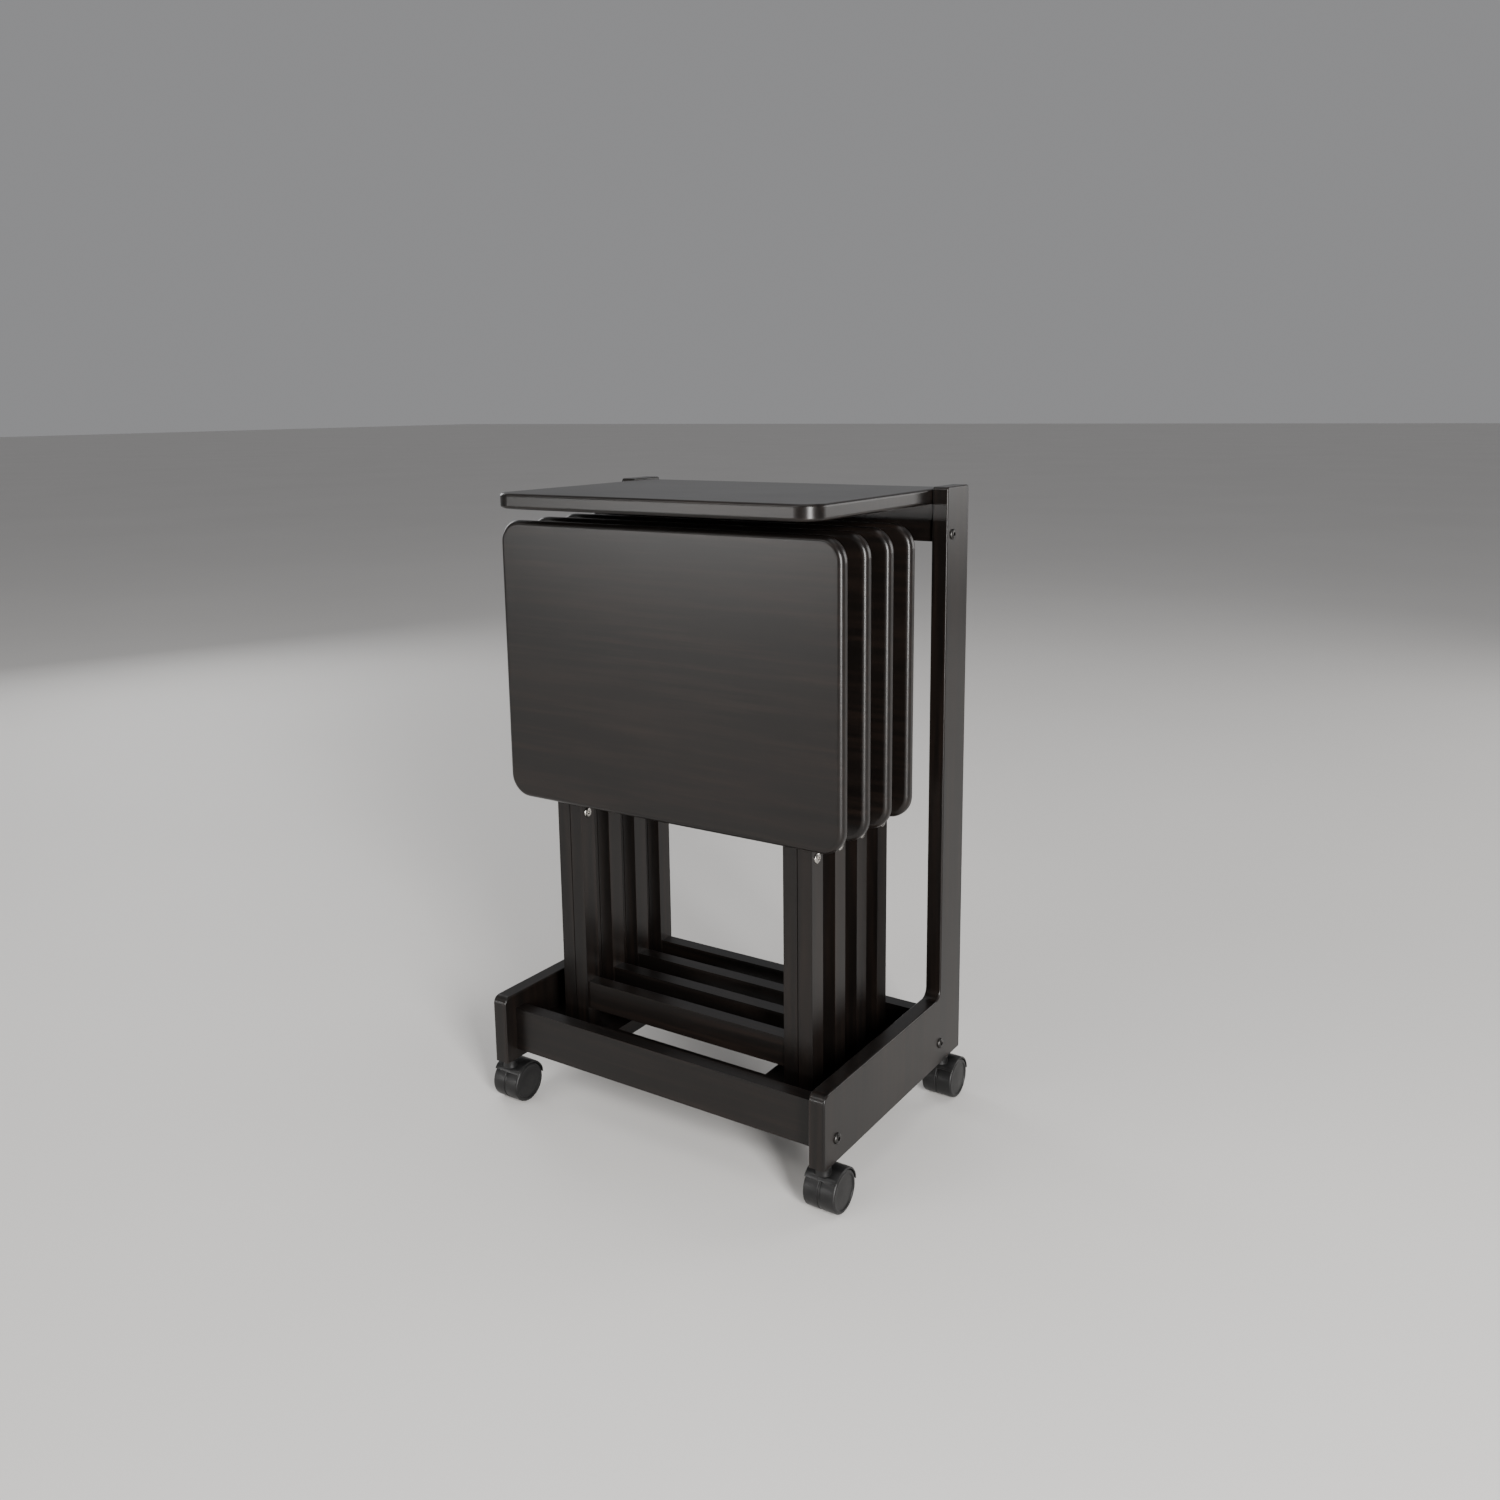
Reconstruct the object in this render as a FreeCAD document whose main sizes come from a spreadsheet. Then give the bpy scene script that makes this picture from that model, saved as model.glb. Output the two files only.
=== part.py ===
import FreeCAD, Part
import os
import Sketcher

# Serving cart on casters with four folded tray tables standing in it.
# X is to the right, Y to the back, Z up; the origin is on the floor, midway between the side frames.

doc = FreeCAD.newDocument("tray_table_set")
sheet = doc.addObject("Spreadsheet::Sheet", "Dims")

DIMENSIONS = [
    # cart: side frames cut from one board each
    ("half_outer", 244.0),
    ("half_inner", 223.5),
    ("side_thick", 20.5),
    ("base_low", 60.0),
    ("base_tall", 88.0),
    ("frame_front", -179.0),
    ("frame_deep", 352.0),
    ("frame_tall", 729.5),
    ("post_deep", 60.0),
    ("nose_round", 10.0),
    ("crotch_round", 12.0),
    ("post_round", 4.0),
    ("edge_round", 2.0),
    # cart: boards between the side frames
    ("board_thick", 18.0),
    ("board_low", 72.5),
    ("board_tall", 56.0),
    ("front_board_y", -160.0),
    ("back_board_y", 105.0),
    ("floor_low", 82.0),
    ("floor_thick", 18.0),
    ("gap_half", 112.0),
    ("strip_deep", 51.0),
    # cart: top board and the rail under it
    ("top_low", 768.5),
    ("top_thick", 18.7),
    ("top_front_y", -162.0),
    ("top_deep", 308.5),
    ("top_half", 223.2),
    ("top_corner", 25.0),
    ("top_edge", 4.0),
    ("rail_y", 118.0),
    ("rail_low", 724.0),
    ("rail_tall", 44.5),
    # cart: bolts with barrel nuts
    ("bolt_base_z", 87.4),
    ("bolt_rail_z", 733.0),
    ("bolt_radius", 3.0),
    ("bolt_long", 52.0),
    ("bolt_reach", 34.5),
    ("bolt_hole", 3.06),
    ("bolt_head_radius", 6.5),
    ("bolt_head_tall", 3.0),
    ("nut_radius", 5.0),
    ("nut_long", 14.0),
    ("nut_hole", 5.06),
    ("nut_inset", 32.0),
    ("hex_radius", 2.3),
    ("hex_deep", 1.8),
    ("spare", 1.0),
    # casters
    ("caster_x", 233.75),
    ("caster_front_y", -151.0),
    ("caster_back_y", 151.0),
    ("trail", 12.0),
    ("wheel_radius", 25.0),
    ("wheel_wide", 19.0),
    ("wheel_inset", 1.5),
    ("wheel_edge", 2.5),
    ("hub_radius", 17.0),
    ("hub_deep", 2.0),
    ("hood_radius", 28.0),
    ("hood_clear", 25.9),
    ("hood_half", 20.5),
    ("hood_low", 29.0),
    ("hood_brow", 43.0),
    ("hood_top", 57.0),
    ("web_half", 1.0),
    ("web_low", 17.0),
    ("boss_radius", 9.0),
    ("boss_low", 36.0),
    ("boss_top", 58.5),
    ("stem_radius", 4.0),
    ("stem_low", 50.0),
    ("stem_long", 40.0),
    ("socket_radius", 5.5),
    ("socket_bore", 4.06),
    ("socket_long", 34.0),
    ("flange_radius", 9.0),
    ("flange_tall", 1.2),
    ("axle_radius", 3.0),
    ("axle_half", 18.0),
    ("axle_bore", 3.2),
    # tray tables
    ("pitch", 52.4),
    ("face_y", -133.0),
    ("tray_half", 240.0),
    ("tray_low", 404.5),
    ("tray_tall", 348.0),
    ("tray_thick", 16.0),
    ("tray_corner", 28.0),
    ("tray_edge", 6.5),
    ("leg_back", 27.0),
    ("leg_deep", 24.0),
    ("leg_axis", 39.0),
    ("leg_end", 12.0),
    ("foot_z", 100.0),
    ("pivot_z", 385.0),
    ("hinge_z", 685.0),
    ("catch_z", 675.0),
    ("outer_half", 186.5),
    ("outer_wide", 19.0),
    ("inner_half", 166.5),
    ("inner_wide", 18.5),
    ("low_rail_y", 29.5),
    ("low_rail_deep", 18.5),
    ("low_rail_z", 125.5),
    ("low_rail_tall", 36.0),
    ("high_rail_y", 31.0),
    ("high_rail_deep", 16.0),
    ("high_rail_z", 693.0),
    ("high_rail_tall", 12.0),
    ("dowel_radius", 6.0),
    ("dowel_hole", 6.05),
    ("dowel_half", 158.0),
    ("pivot_radius", 3.0),
    ("pivot_hole", 3.06),
    ("pivot_head", 6.5),
    ("pivot_head_tall", 2.0),
    ("washer_radius", 8.0),
    ("washer_thick", 1.0),
    ("pin_radius", 3.0),
    ("pin_hole", 3.06),
    ("pin_long", 30.0),
    ("cleat_gap", 0.8),
    ("cleat_wide", 16.0),
    ("cleat_foot", 68.0),
    ("cleat_eye", 11.0),
    ("saddle_x", 104.0),
    ("saddle_wide", 18.0),
    ("saddle_deep", 32.0),
    ("saddle_z", 437.0),
    ("saddle_tall", 30.0),
    ("saddle_bore", 6.4),
]

for row, (alias, number) in enumerate(DIMENSIONS, start=1):
    sheet.set("A%d" % row, alias)
    sheet.set("B%d" % row, str(number))
    sheet.setAlias("B%d" % row, alias)
doc.recompute()

AXIS_TURN = {
    "X": FreeCAD.Rotation(FreeCAD.Vector(0, 1, 0), 90),
    "Y": FreeCAD.Rotation(FreeCAD.Vector(1, 0, 0), -90),
    "Z": FreeCAD.Rotation(),
}
NODES = []


def bind(thing, prop, text):
    """Bind a property to an expression over the sheet; bare words are sheet names."""
    thing.setExpression(prop, text)


def named(*words):
    """Join sheet names and signs into one expression."""
    parts = []
    for word in words:
        parts.append("Dims." + word if word[0].isalpha() else word)
    return " ".join(parts)


def place(thing, x, y, z):
    bind(thing, "Placement.Base.x", x)
    bind(thing, "Placement.Base.y", y)
    bind(thing, "Placement.Base.z", z)


def box(low, size):
    thing = doc.addObject("Part::Box", "block")
    bind(thing, "Length", size[0])
    bind(thing, "Width", size[1])
    bind(thing, "Height", size[2])
    place(thing, *low)
    return thing


def rod(axis, start, radius, length):
    """A cylinder that runs along axis from start."""
    thing = doc.addObject("Part::Cylinder", "rod")
    thing.Placement = FreeCAD.Placement(FreeCAD.Vector(), AXIS_TURN[axis])
    bind(thing, "Radius", radius)
    bind(thing, "Height", length)
    place(thing, *start)
    return thing


def taper(axis, start, low_radius, high_radius, length):
    """A cone cut off at both ends that runs along axis from start."""
    thing = doc.addObject("Part::Cone", "taper")
    thing.Placement = FreeCAD.Placement(FreeCAD.Vector(), AXIS_TURN[axis])
    bind(thing, "Radius1", low_radius)
    bind(thing, "Radius2", high_radius)
    bind(thing, "Height", length)
    place(thing, *start)
    return thing


def fuse(*things):
    joined = doc.addObject("Part::MultiFuse", "joined")
    joined.Shapes = list(things)
    return joined


def common(*things):
    shared = doc.addObject("Part::MultiCommon", "shared")
    shared.Shapes = list(things)
    return shared


def cut(base, *tools):
    for tool in tools:
        result = doc.addObject("Part::Cut", "cut")
        result.Base = base
        result.Tool = tool
        base = result
    return base


def group(*things):
    pair = doc.addObject("Part::Compound", "group")
    pair.Links = list(things)
    return pair


def node(label, thing):
    thing.Label = label
    NODES.append(thing)
    return thing


def origin_plane(body, role):
    for feature in body.Origin.OriginFeatures:
        if feature.Role == role:
            return feature


def outline(body, role, offset, corners, sizes):
    """A closed outline of straight level and upright lines; sizes bind the lengths of the given lines."""
    sketch = body.newObject("Sketcher::SketchObject", "outline")
    sketch.AttachmentSupport = [(origin_plane(body, role), "")]
    sketch.MapMode = "FlatFace"
    for name, text in zip("xyz", offset):
        bind(sketch, "AttachmentOffset.Base." + name, text)
    count = len(corners)
    for index in range(count):
        start = FreeCAD.Vector(*corners[index], 0)
        end = FreeCAD.Vector(*corners[(index + 1) % count], 0)
        sketch.addGeometry(Part.LineSegment(start, end), False)
    for index in range(count):
        sketch.addConstraint(Sketcher.Constraint("Coincident", index, 2, (index + 1) % count, 1))
        level = corners[index][1] == corners[(index + 1) % count][1]
        sketch.addConstraint(Sketcher.Constraint("Horizontal" if level else "Vertical", index))
    sketch.addConstraint(Sketcher.Constraint("Coincident", 0, 1, -1, 1))
    for index, text in sizes:
        start = corners[index]
        end = corners[(index + 1) % count]
        length = abs(end[0] - start[0]) + abs(end[1] - start[1])
        where = sketch.addConstraint(Sketcher.Constraint("Distance", index, length))
        sketch.renameConstraint(where, "side%d" % index)
        bind(sketch, "Constraints.side%d" % index, text)
    return sketch


def padded(sketch_body, sketch, length):
    pad = sketch_body.newObject("PartDesign::Pad", "pad")
    pad.Profile = sketch
    bind(pad, "Length", length)
    doc.recompute()
    return pad


def rounded(body, feature, keep, radius):
    """Round every edge of the feature for which keep(edge) holds."""
    names = []
    for number, edge in enumerate(feature.Shape.Edges, start=1):
        if keep(edge):
            names.append("Edge%d" % number)
    fillet = body.newObject("PartDesign::Fillet", "round")
    fillet.Base = (feature, names)
    bind(fillet, "Radius", radius)
    doc.recompute()
    return fillet


def runs_along(edge, name):
    """True for a straight edge that runs along the named axis."""
    if len(edge.Vertexes) != 2 or edge.Curve.TypeId != "Part::GeomLine":
        return False
    step = edge.Vertexes[1].Point - edge.Vertexes[0].Point
    return abs(abs(getattr(step, name)) - step.Length) < 1e-6


def value(alias):
    return float(sheet.get(alias))


def lies_at(edge, **wanted):
    centre = edge.CenterOfMass
    return all(abs(getattr(centre, name) - number) < 0.01 for name, number in wanted.items())


# ---- side frames -------------------------------------------------------------------------------

FRAME_FRONT = value("frame_front")
POST_FRONT = FRAME_FRONT + value("frame_deep") - value("post_deep")
FRAME_TOP = value("base_low") + value("frame_tall")
BASE_TOP = value("base_low") + value("base_tall")


def side_frame(label, low_x):
    body = doc.addObject("PartDesign::Body", "side_frame")
    deep, tall = value("frame_deep"), value("frame_tall")
    base = value("base_tall")
    inset = deep - value("post_deep")
    corners = [(0, 0), (deep, 0), (deep, tall), (inset, tall), (inset, base), (0, base)]
    sizes = [
        (0, named("frame_deep")),
        (1, named("frame_tall")),
        (2, named("post_deep")),
        (5, named("base_tall")),
    ]
    sketch = outline(body, "YZ_Plane", (named("frame_front"), named("base_low"), low_x), corners, sizes)
    pad = padded(body, sketch, named("side_thick"))
    nose = rounded(
        body, pad, lambda e: runs_along(e, "x") and lies_at(e, y=FRAME_FRONT, z=BASE_TOP), named("nose_round")
    )
    crotch = rounded(
        body,
        nose,
        lambda e: runs_along(e, "x") and lies_at(e, y=POST_FRONT, z=BASE_TOP),
        named("crotch_round"),
    )
    crown = rounded(
        body, crotch, lambda e: runs_along(e, "x") and lies_at(e, z=FRAME_TOP), named("post_round")
    )
    body.Tip = rounded(
        body,
        crown,
        lambda e: not runs_along(e, "x") and not lies_at(e, z=value("base_low")),
        named("edge_round"),
    )
    bores = []
    for bolt_y, bolt_z in bolt_spots():
        bores.append(rod("X", (low_x, bolt_y, bolt_z), named("bolt_hole"), named("side_thick")))
    for spot_y in stem_spots():
        mid_x = low_x + " + Dims.side_thick / 2"
        bores.append(
            rod("Z", (mid_x, spot_y, named("base_low")), named("socket_radius"), named("socket_long"))
        )
    return node(label, cut(body, *bores))


def bolt_spots():
    return [
        (named("front_board_y", "+", "board_thick", "/ 2"), named("bolt_base_z")),
        (named("back_board_y", "+", "board_thick", "/ 2"), named("bolt_base_z")),
        (named("rail_y", "+", "board_thick", "/ 2"), named("bolt_rail_z")),
    ]


def stem_spots():
    return [
        named("caster_front_y", "-", "trail"),
        named("caster_back_y", "-", "trail"),
    ]


side_frame("cart_side_left", "-Dims.half_outer")
side_frame("cart_side_right", "Dims.half_inner")

# ---- boards between the side frames ------------------------------------------------------------


def bolted_board(label, low, size, bolt_y, bolt_z):
    """A board with a bolt bore and a barrel nut bore at each end."""
    bores = []
    for sign in ("-", ""):
        start = sign + "Dims.half_inner" + (" - Dims.bolt_long" if sign == "" else "")
        bores.append(rod("X", (start, bolt_y, bolt_z), named("bolt_hole"), named("bolt_long")))
        nut_x = nut_position(sign)
        bores.append(rod("Z", (nut_x, bolt_y, low[2]), named("nut_hole"), nut_reach()))
    return node(label, cut(box(low, size), *bores))


def nut_position(sign):
    if sign == "-":
        return "-Dims.half_inner + Dims.nut_inset"
    return "Dims.half_inner - Dims.nut_inset"


def nut_reach():
    return named("bolt_base_z", "-", "board_low", "+", "nut_long", "/ 2")


FULL_X = "-Dims.half_inner"
FULL_WIDE = "2 * Dims.half_inner"
bolted_board(
    "cart_front_board",
    (FULL_X, named("front_board_y"), named("board_low")),
    (FULL_WIDE, named("board_thick"), named("board_tall")),
    *bolt_spots()[0],
)
bolted_board(
    "cart_back_board",
    (FULL_X, named("back_board_y"), named("board_low")),
    (FULL_WIDE, named("board_thick"), named("board_tall")),
    *bolt_spots()[1],
)
bolted_board(
    "cart_top_rail",
    (FULL_X, named("rail_y"), named("rail_low")),
    (FULL_WIDE, named("board_thick"), named("rail_tall")),
    *bolt_spots()[2],
)

FLOOR_Y = "Dims.front_board_y + Dims.board_thick"
FLOOR_DEEP = "Dims.back_board_y - Dims.front_board_y - Dims.board_thick"
SIDE_STRIP = (named("half_inner", "-", "gap_half"), FLOOR_DEEP, named("floor_thick"))
END_STRIP = ("2 * Dims.gap_half", named("strip_deep"), named("floor_thick"))
node("cart_floor_left", box((FULL_X, FLOOR_Y, named("floor_low")), SIDE_STRIP))
node("cart_floor_right", box((named("gap_half"), FLOOR_Y, named("floor_low")), SIDE_STRIP))
node("cart_floor_front", box(("-Dims.gap_half", FLOOR_Y, named("floor_low")), END_STRIP))
node(
    "cart_floor_back",
    box(("-Dims.gap_half", "Dims.back_board_y - Dims.strip_deep", named("floor_low")), END_STRIP),
)


def rounded_slab(label, role, offset, size, sizes, length, corner_keep, corner, edge_keep, edge):
    body = doc.addObject("PartDesign::Body", "slab")
    wide, tall = size
    corners = [(0, 0), (wide, 0), (wide, tall), (0, tall)]
    sketch = outline(body, role, offset, corners, sizes)
    pad = padded(body, sketch, length)
    turned = rounded(body, pad, corner_keep, corner)
    body.Tip = rounded(body, turned, edge_keep, edge)
    return node(label, body)


TOP_FRONT = value("top_front_y")
TOP_BACK = value("top_front_y") + value("top_deep")
rounded_slab(
    "cart_top_board",
    "XY_Plane",
    ("-Dims.top_half", named("top_front_y"), named("top_low")),
    (2 * value("top_half"), value("top_deep")),
    [(0, "2 * Dims.top_half"), (1, named("top_deep"))],
    named("top_thick"),
    lambda e: runs_along(e, "z") and lies_at(e, y=TOP_FRONT),
    named("top_corner"),
    lambda e: not runs_along(e, "z") and e.CenterOfMass.y < TOP_BACK - value("spare"),
    named("top_edge"),
)

# ---- bolts and barrel nuts ---------------------------------------------------------------------


def frame_bolt(sign, bolt_y, bolt_z):
    """A button head bolt put in from the outer face of a side frame."""
    if sign == "-":
        head_x = "-Dims.half_outer - Dims.bolt_head_tall"
        shank_x = "-Dims.half_outer"
        hex_x = head_x
    else:
        head_x = "Dims.half_outer"
        shank_x = "Dims.half_inner - Dims.bolt_reach"
        hex_x = "Dims.half_outer + Dims.bolt_head_tall - Dims.hex_deep"
    shank_long = "Dims.side_thick + Dims.bolt_reach"
    head = rod("X", (head_x, bolt_y, bolt_z), named("bolt_head_radius"), named("bolt_head_tall"))
    shank = rod("X", (shank_x, bolt_y, bolt_z), named("bolt_radius"), shank_long)
    key = rod("X", (hex_x, bolt_y, bolt_z), named("hex_radius"), named("hex_deep"))
    return cut(fuse(head, shank), key)


def barrel_nut(sign, bolt_y, bolt_z):
    low_z = "(" + bolt_z + ") - Dims.nut_long / 2"
    barrel = rod("Z", (nut_position(sign), bolt_y, low_z), named("nut_radius"), named("nut_long"))
    start = nut_position(sign) + " - Dims.nut_radius - Dims.spare"
    thread = rod("X", (start, bolt_y, bolt_z), named("bolt_hole"), "2 * Dims.nut_radius + 2 * Dims.spare")
    return cut(barrel, thread)


BOTH_SIDES = ("-", "")
node("cart_frame_bolts", group(*[frame_bolt(s, y, z) for s in BOTH_SIDES for y, z in bolt_spots()]))
node("cart_barrel_nuts", group(*[barrel_nut(s, y, z) for s in BOTH_SIDES for y, z in bolt_spots()]))

# ---- casters -----------------------------------------------------------------------------------


def caster(label, sign, axis_y, stem_y):
    centre_x = sign + "Dims.caster_x"
    axle_z = named("wheel_radius")

    def across(half, radius):
        start = centre_x + " - " + half
        return rod("X", (start, axis_y, axle_z), radius, "2 * " + half)

    def region(start_y, low):
        return box(
            (centre_x + " - Dims.hood_half", start_y, low),
            ("2 * Dims.hood_half", named("hood_radius"), "Dims.hood_top - " + low),
        )

    before = axis_y + " - Dims.hood_radius"
    cover = common(
        across("Dims.hood_half", named("hood_radius")),
        fuse(region(before, named("hood_brow")), region(axis_y, named("hood_low"))),
    )
    web = common(
        across("Dims.web_half", named("hood_radius")),
        fuse(region(before, named("web_low")), region(axis_y, named("web_low"))),
    )
    boss = rod(
        "Z", (centre_x, stem_y, named("boss_low")), named("boss_radius"), "Dims.boss_top - Dims.boss_low"
    )
    clear_left = rod(
        "X",
        (centre_x + " - Dims.web_half - Dims.hood_radius", axis_y, axle_z),
        named("hood_clear"),
        named("hood_radius"),
    )
    clear_right = rod(
        "X", (centre_x + " + Dims.web_half", axis_y, axle_z), named("hood_clear"), named("hood_radius")
    )
    bore = across("Dims.hood_half", named("axle_bore"))
    seat = rod("Z", (centre_x, stem_y, named("stem_low")), named("stem_radius"), named("stem_long"))
    hood = cut(fuse(cover, web, boss), clear_left, clear_right, bore, seat)
    node(label + "_hood", hood)

    stem = rod("Z", (centre_x, stem_y, named("stem_low")), named("stem_radius"), named("stem_long"))
    axle = across("Dims.axle_half", named("axle_radius"))
    node(label + "_pins", group(stem, axle))

    wheels = []
    for side in ("-", "+"):
        full = named("wheel_radius")
        narrow = named("wheel_radius", "-", "wheel_edge")
        if side == "-":
            start = centre_x + " - Dims.wheel_inset - Dims.wheel_wide"
            recess = start
            rim = taper("X", (start, axis_y, axle_z), narrow, full, named("wheel_edge"))
            tread_x = start + " + Dims.wheel_edge"
        else:
            start = centre_x + " + Dims.wheel_inset"
            recess = start + " + Dims.wheel_wide - Dims.hub_deep"
            rim_x = start + " + Dims.wheel_wide - Dims.wheel_edge"
            rim = taper("X", (rim_x, axis_y, axle_z), full, narrow, named("wheel_edge"))
            tread_x = start
        tread = rod("X", (tread_x, axis_y, axle_z), full, "Dims.wheel_wide - Dims.wheel_edge")
        disc = fuse(tread, rim)
        dish = rod("X", (recess, axis_y, axle_z), named("hub_radius"), named("hub_deep"))
        hole = rod("X", (start, axis_y, axle_z), named("axle_bore"), named("wheel_wide"))
        wheels.append(cut(disc, dish, hole))
    node(label + "_wheels", group(*wheels))


def caster_socket(sign, stem_y):
    centre_x = sign + "Dims.caster_x"
    sleeve = rod("Z", (centre_x, stem_y, named("base_low")), named("socket_radius"), named("socket_long"))
    flange_z = "Dims.base_low - Dims.flange_tall"
    flange = rod("Z", (centre_x, stem_y, flange_z), named("flange_radius"), named("flange_tall"))
    bore = rod("Z", (centre_x, stem_y, flange_z), named("socket_bore"), "Dims.socket_long + Dims.flange_tall")
    return cut(fuse(sleeve, flange), bore)


STEM_FRONT, STEM_BACK = stem_spots()
CASTERS = [
    ("caster_front_left", "-", named("caster_front_y"), STEM_FRONT),
    ("caster_front_right", "", named("caster_front_y"), STEM_FRONT),
    ("caster_back_left", "-", named("caster_back_y"), STEM_BACK),
    ("caster_back_right", "", named("caster_back_y"), STEM_BACK),
]
for caster_label, caster_sign, wheel_y, pin_y in CASTERS:
    caster(caster_label, caster_sign, wheel_y, pin_y)
node("cart_caster_sockets", group(*[caster_socket(s, y) for _, s, _, y in CASTERS]))

# ---- tray tables -------------------------------------------------------------------------------


def tray(label, shift):
    face = "-(" + shift + " + Dims.face_y + Dims.tray_thick)"
    rounded_slab(
        label,
        "XZ_Plane",
        ("-Dims.tray_half", named("tray_low"), face),
        (2 * value("tray_half"), value("tray_tall")),
        [(0, "2 * Dims.tray_half"), (1, named("tray_tall"))],
        named("tray_thick"),
        lambda e: runs_along(e, "y"),
        named("tray_corner"),
        lambda e: not runs_along(e, "y"),
        named("tray_edge"),
    )


def mirrored(sign, near, wide):
    """The low X of a piece that is wide across and ends at near, on the side given by sign."""
    if sign == "-":
        return "-Dims." + near
    return "Dims." + near + " - Dims." + wide


def leg(sign, near, wide, top_z, axis_y, shift, bores):
    low_x = mirrored(sign, near, wide)
    front = shift + " + Dims.face_y + Dims.leg_back"
    bar = box(
        (low_x, front, named("foot_z")), (named(wide), named("leg_deep"), top_z + " - Dims.foot_z")
    )
    end = rod("X", (low_x, axis_y, top_z), named("leg_end"), named(wide))
    holes = [
        rod("X", (low_x, axis_y, bore_z), named(radius), named(wide)) for bore_z, radius in bores
    ]
    return cut(fuse(bar, end), *holes)


def tray_table(number):
    name = "table_%d" % number
    shift = "%d * Dims.pitch" % (number - 1)
    face = shift + " + Dims.face_y"
    axis_y = face + " + Dims.leg_axis"
    back_y = face + " + Dims.tray_thick"
    tray(name + "_tray", shift)

    outer_bores = [(named("pivot_z"), "pivot_hole"), (named("hinge_z"), "pin_hole")]
    inner_bores = [(named("pivot_z"), "pivot_hole"), (named("catch_z"), "dowel_hole")]
    outer = [
        leg(s, "outer_half", "outer_wide", named("hinge_z"), axis_y, shift, outer_bores)
        for s in BOTH_SIDES
    ]
    inner = [
        leg(s, "inner_half", "inner_wide", named("catch_z"), axis_y, shift, inner_bores)
        for s in BOTH_SIDES
    ]
    node(name + "_outer_legs", group(*outer))
    node(name + "_inner_legs", group(*inner))

    inner_face = "(Dims.inner_half - Dims.inner_wide)"
    outer_face = "(Dims.outer_half - Dims.outer_wide)"
    low_rail = box(
        ("-" + inner_face, face + " + Dims.low_rail_y", named("low_rail_z")),
        ("2 * " + inner_face, named("low_rail_deep"), named("low_rail_tall")),
    )
    high_rail = box(
        ("-" + outer_face, face + " + Dims.high_rail_y", named("high_rail_z")),
        ("2 * " + outer_face, named("high_rail_deep"), named("high_rail_tall")),
    )
    dowel_start = ("-Dims.dowel_half", axis_y, named("catch_z"))
    dowel = rod("X", dowel_start, named("dowel_radius"), "2 * Dims.dowel_half")
    node(name + "_rails", group(low_rail, high_rail, dowel))

    bolts = []
    for sign in BOTH_SIDES:
        inside = "(Dims.inner_half - Dims.inner_wide)"
        if sign == "-":
            start = "-Dims.outer_half"
            caps = ("-Dims.outer_half - Dims.pivot_head_tall", "-" + inside)
            seam = "-Dims.inner_half - Dims.washer_thick"
        else:
            start = inside
            caps = ("Dims.outer_half", inside + " - Dims.pivot_head_tall")
            seam = "Dims.inner_half"
        shank_start = (start, axis_y, named("pivot_z"))
        shank = rod("X", shank_start, named("pivot_radius"), "Dims.outer_half - " + inside)
        heads = [
            rod("X", (x, axis_y, named("pivot_z")), named("pivot_head"), named("pivot_head_tall"))
            for x in caps
        ]
        bolts.append(fuse(shank, *heads))
        ring = rod("X", (seam, axis_y, named("pivot_z")), named("washer_radius"), named("washer_thick"))
        eye = rod("X", (seam, axis_y, named("pivot_z")), named("pivot_hole"), named("washer_thick"))
        bolts.append(cut(ring, eye))
    node(name + "_pivot_bolts", group(*bolts))

    cleats = []
    pins = []
    saddles = []
    for sign in BOTH_SIDES:
        if sign == "-":
            low_x = "-Dims.outer_half - Dims.cleat_gap - Dims.cleat_wide"
            pin_x = low_x
            saddle_x = "-Dims.saddle_x - Dims.saddle_wide / 2"
        else:
            low_x = "Dims.outer_half + Dims.cleat_gap"
            pin_x = "Dims.outer_half + Dims.cleat_gap + Dims.cleat_wide - Dims.pin_long"
            saddle_x = "Dims.saddle_x - Dims.saddle_wide / 2"
        cleats.append(hinge_cleat(low_x, back_y, axis_y))
        pins.append(rod("X", (pin_x, axis_y, named("hinge_z")), named("pin_radius"), named("pin_long")))
        block = box(
            (saddle_x, back_y, named("saddle_z")),
            (named("saddle_wide"), named("saddle_deep"), named("saddle_tall")),
        )
        hollow = rod(
            "X",
            (saddle_x, back_y + " + Dims.saddle_deep", "Dims.saddle_z + Dims.saddle_tall / 2"),
            named("saddle_bore"),
            named("saddle_wide"),
        )
        saddles.append(cut(block, hollow))
    node(name + "_hinge_cleats", group(*cleats))
    node(name + "_hinge_pins", group(*pins))
    node(name + "_rest_saddles", group(*saddles))


def hinge_cleat(low_x, back_y, axis_y):
    """A tapered block on the tray's back with an eye that holds the hinge pin."""
    foot = box(
        (low_x, back_y, "Dims.hinge_z - Dims.cleat_foot / 2"),
        (named("cleat_wide"), "Dims.leg_axis - Dims.tray_thick - Dims.cleat_eye", named("cleat_foot")),
    )
    neck = box(
        (low_x, back_y, "Dims.hinge_z - Dims.cleat_eye"),
        (named("cleat_wide"), "Dims.leg_axis - Dims.tray_thick", "2 * Dims.cleat_eye"),
    )
    eye = rod("X", (low_x, axis_y, named("hinge_z")), named("cleat_eye"), named("cleat_wide"))
    hole = rod("X", (low_x, axis_y, named("hinge_z")), named("pin_hole"), named("cleat_wide"))
    return cut(fuse(foot, neck, eye), hole)


TABLE_COUNT = 4
for table_number in range(1, TABLE_COUNT + 1):
    tray_table(table_number)

# ---- checks and export -------------------------------------------------------------------------

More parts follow.
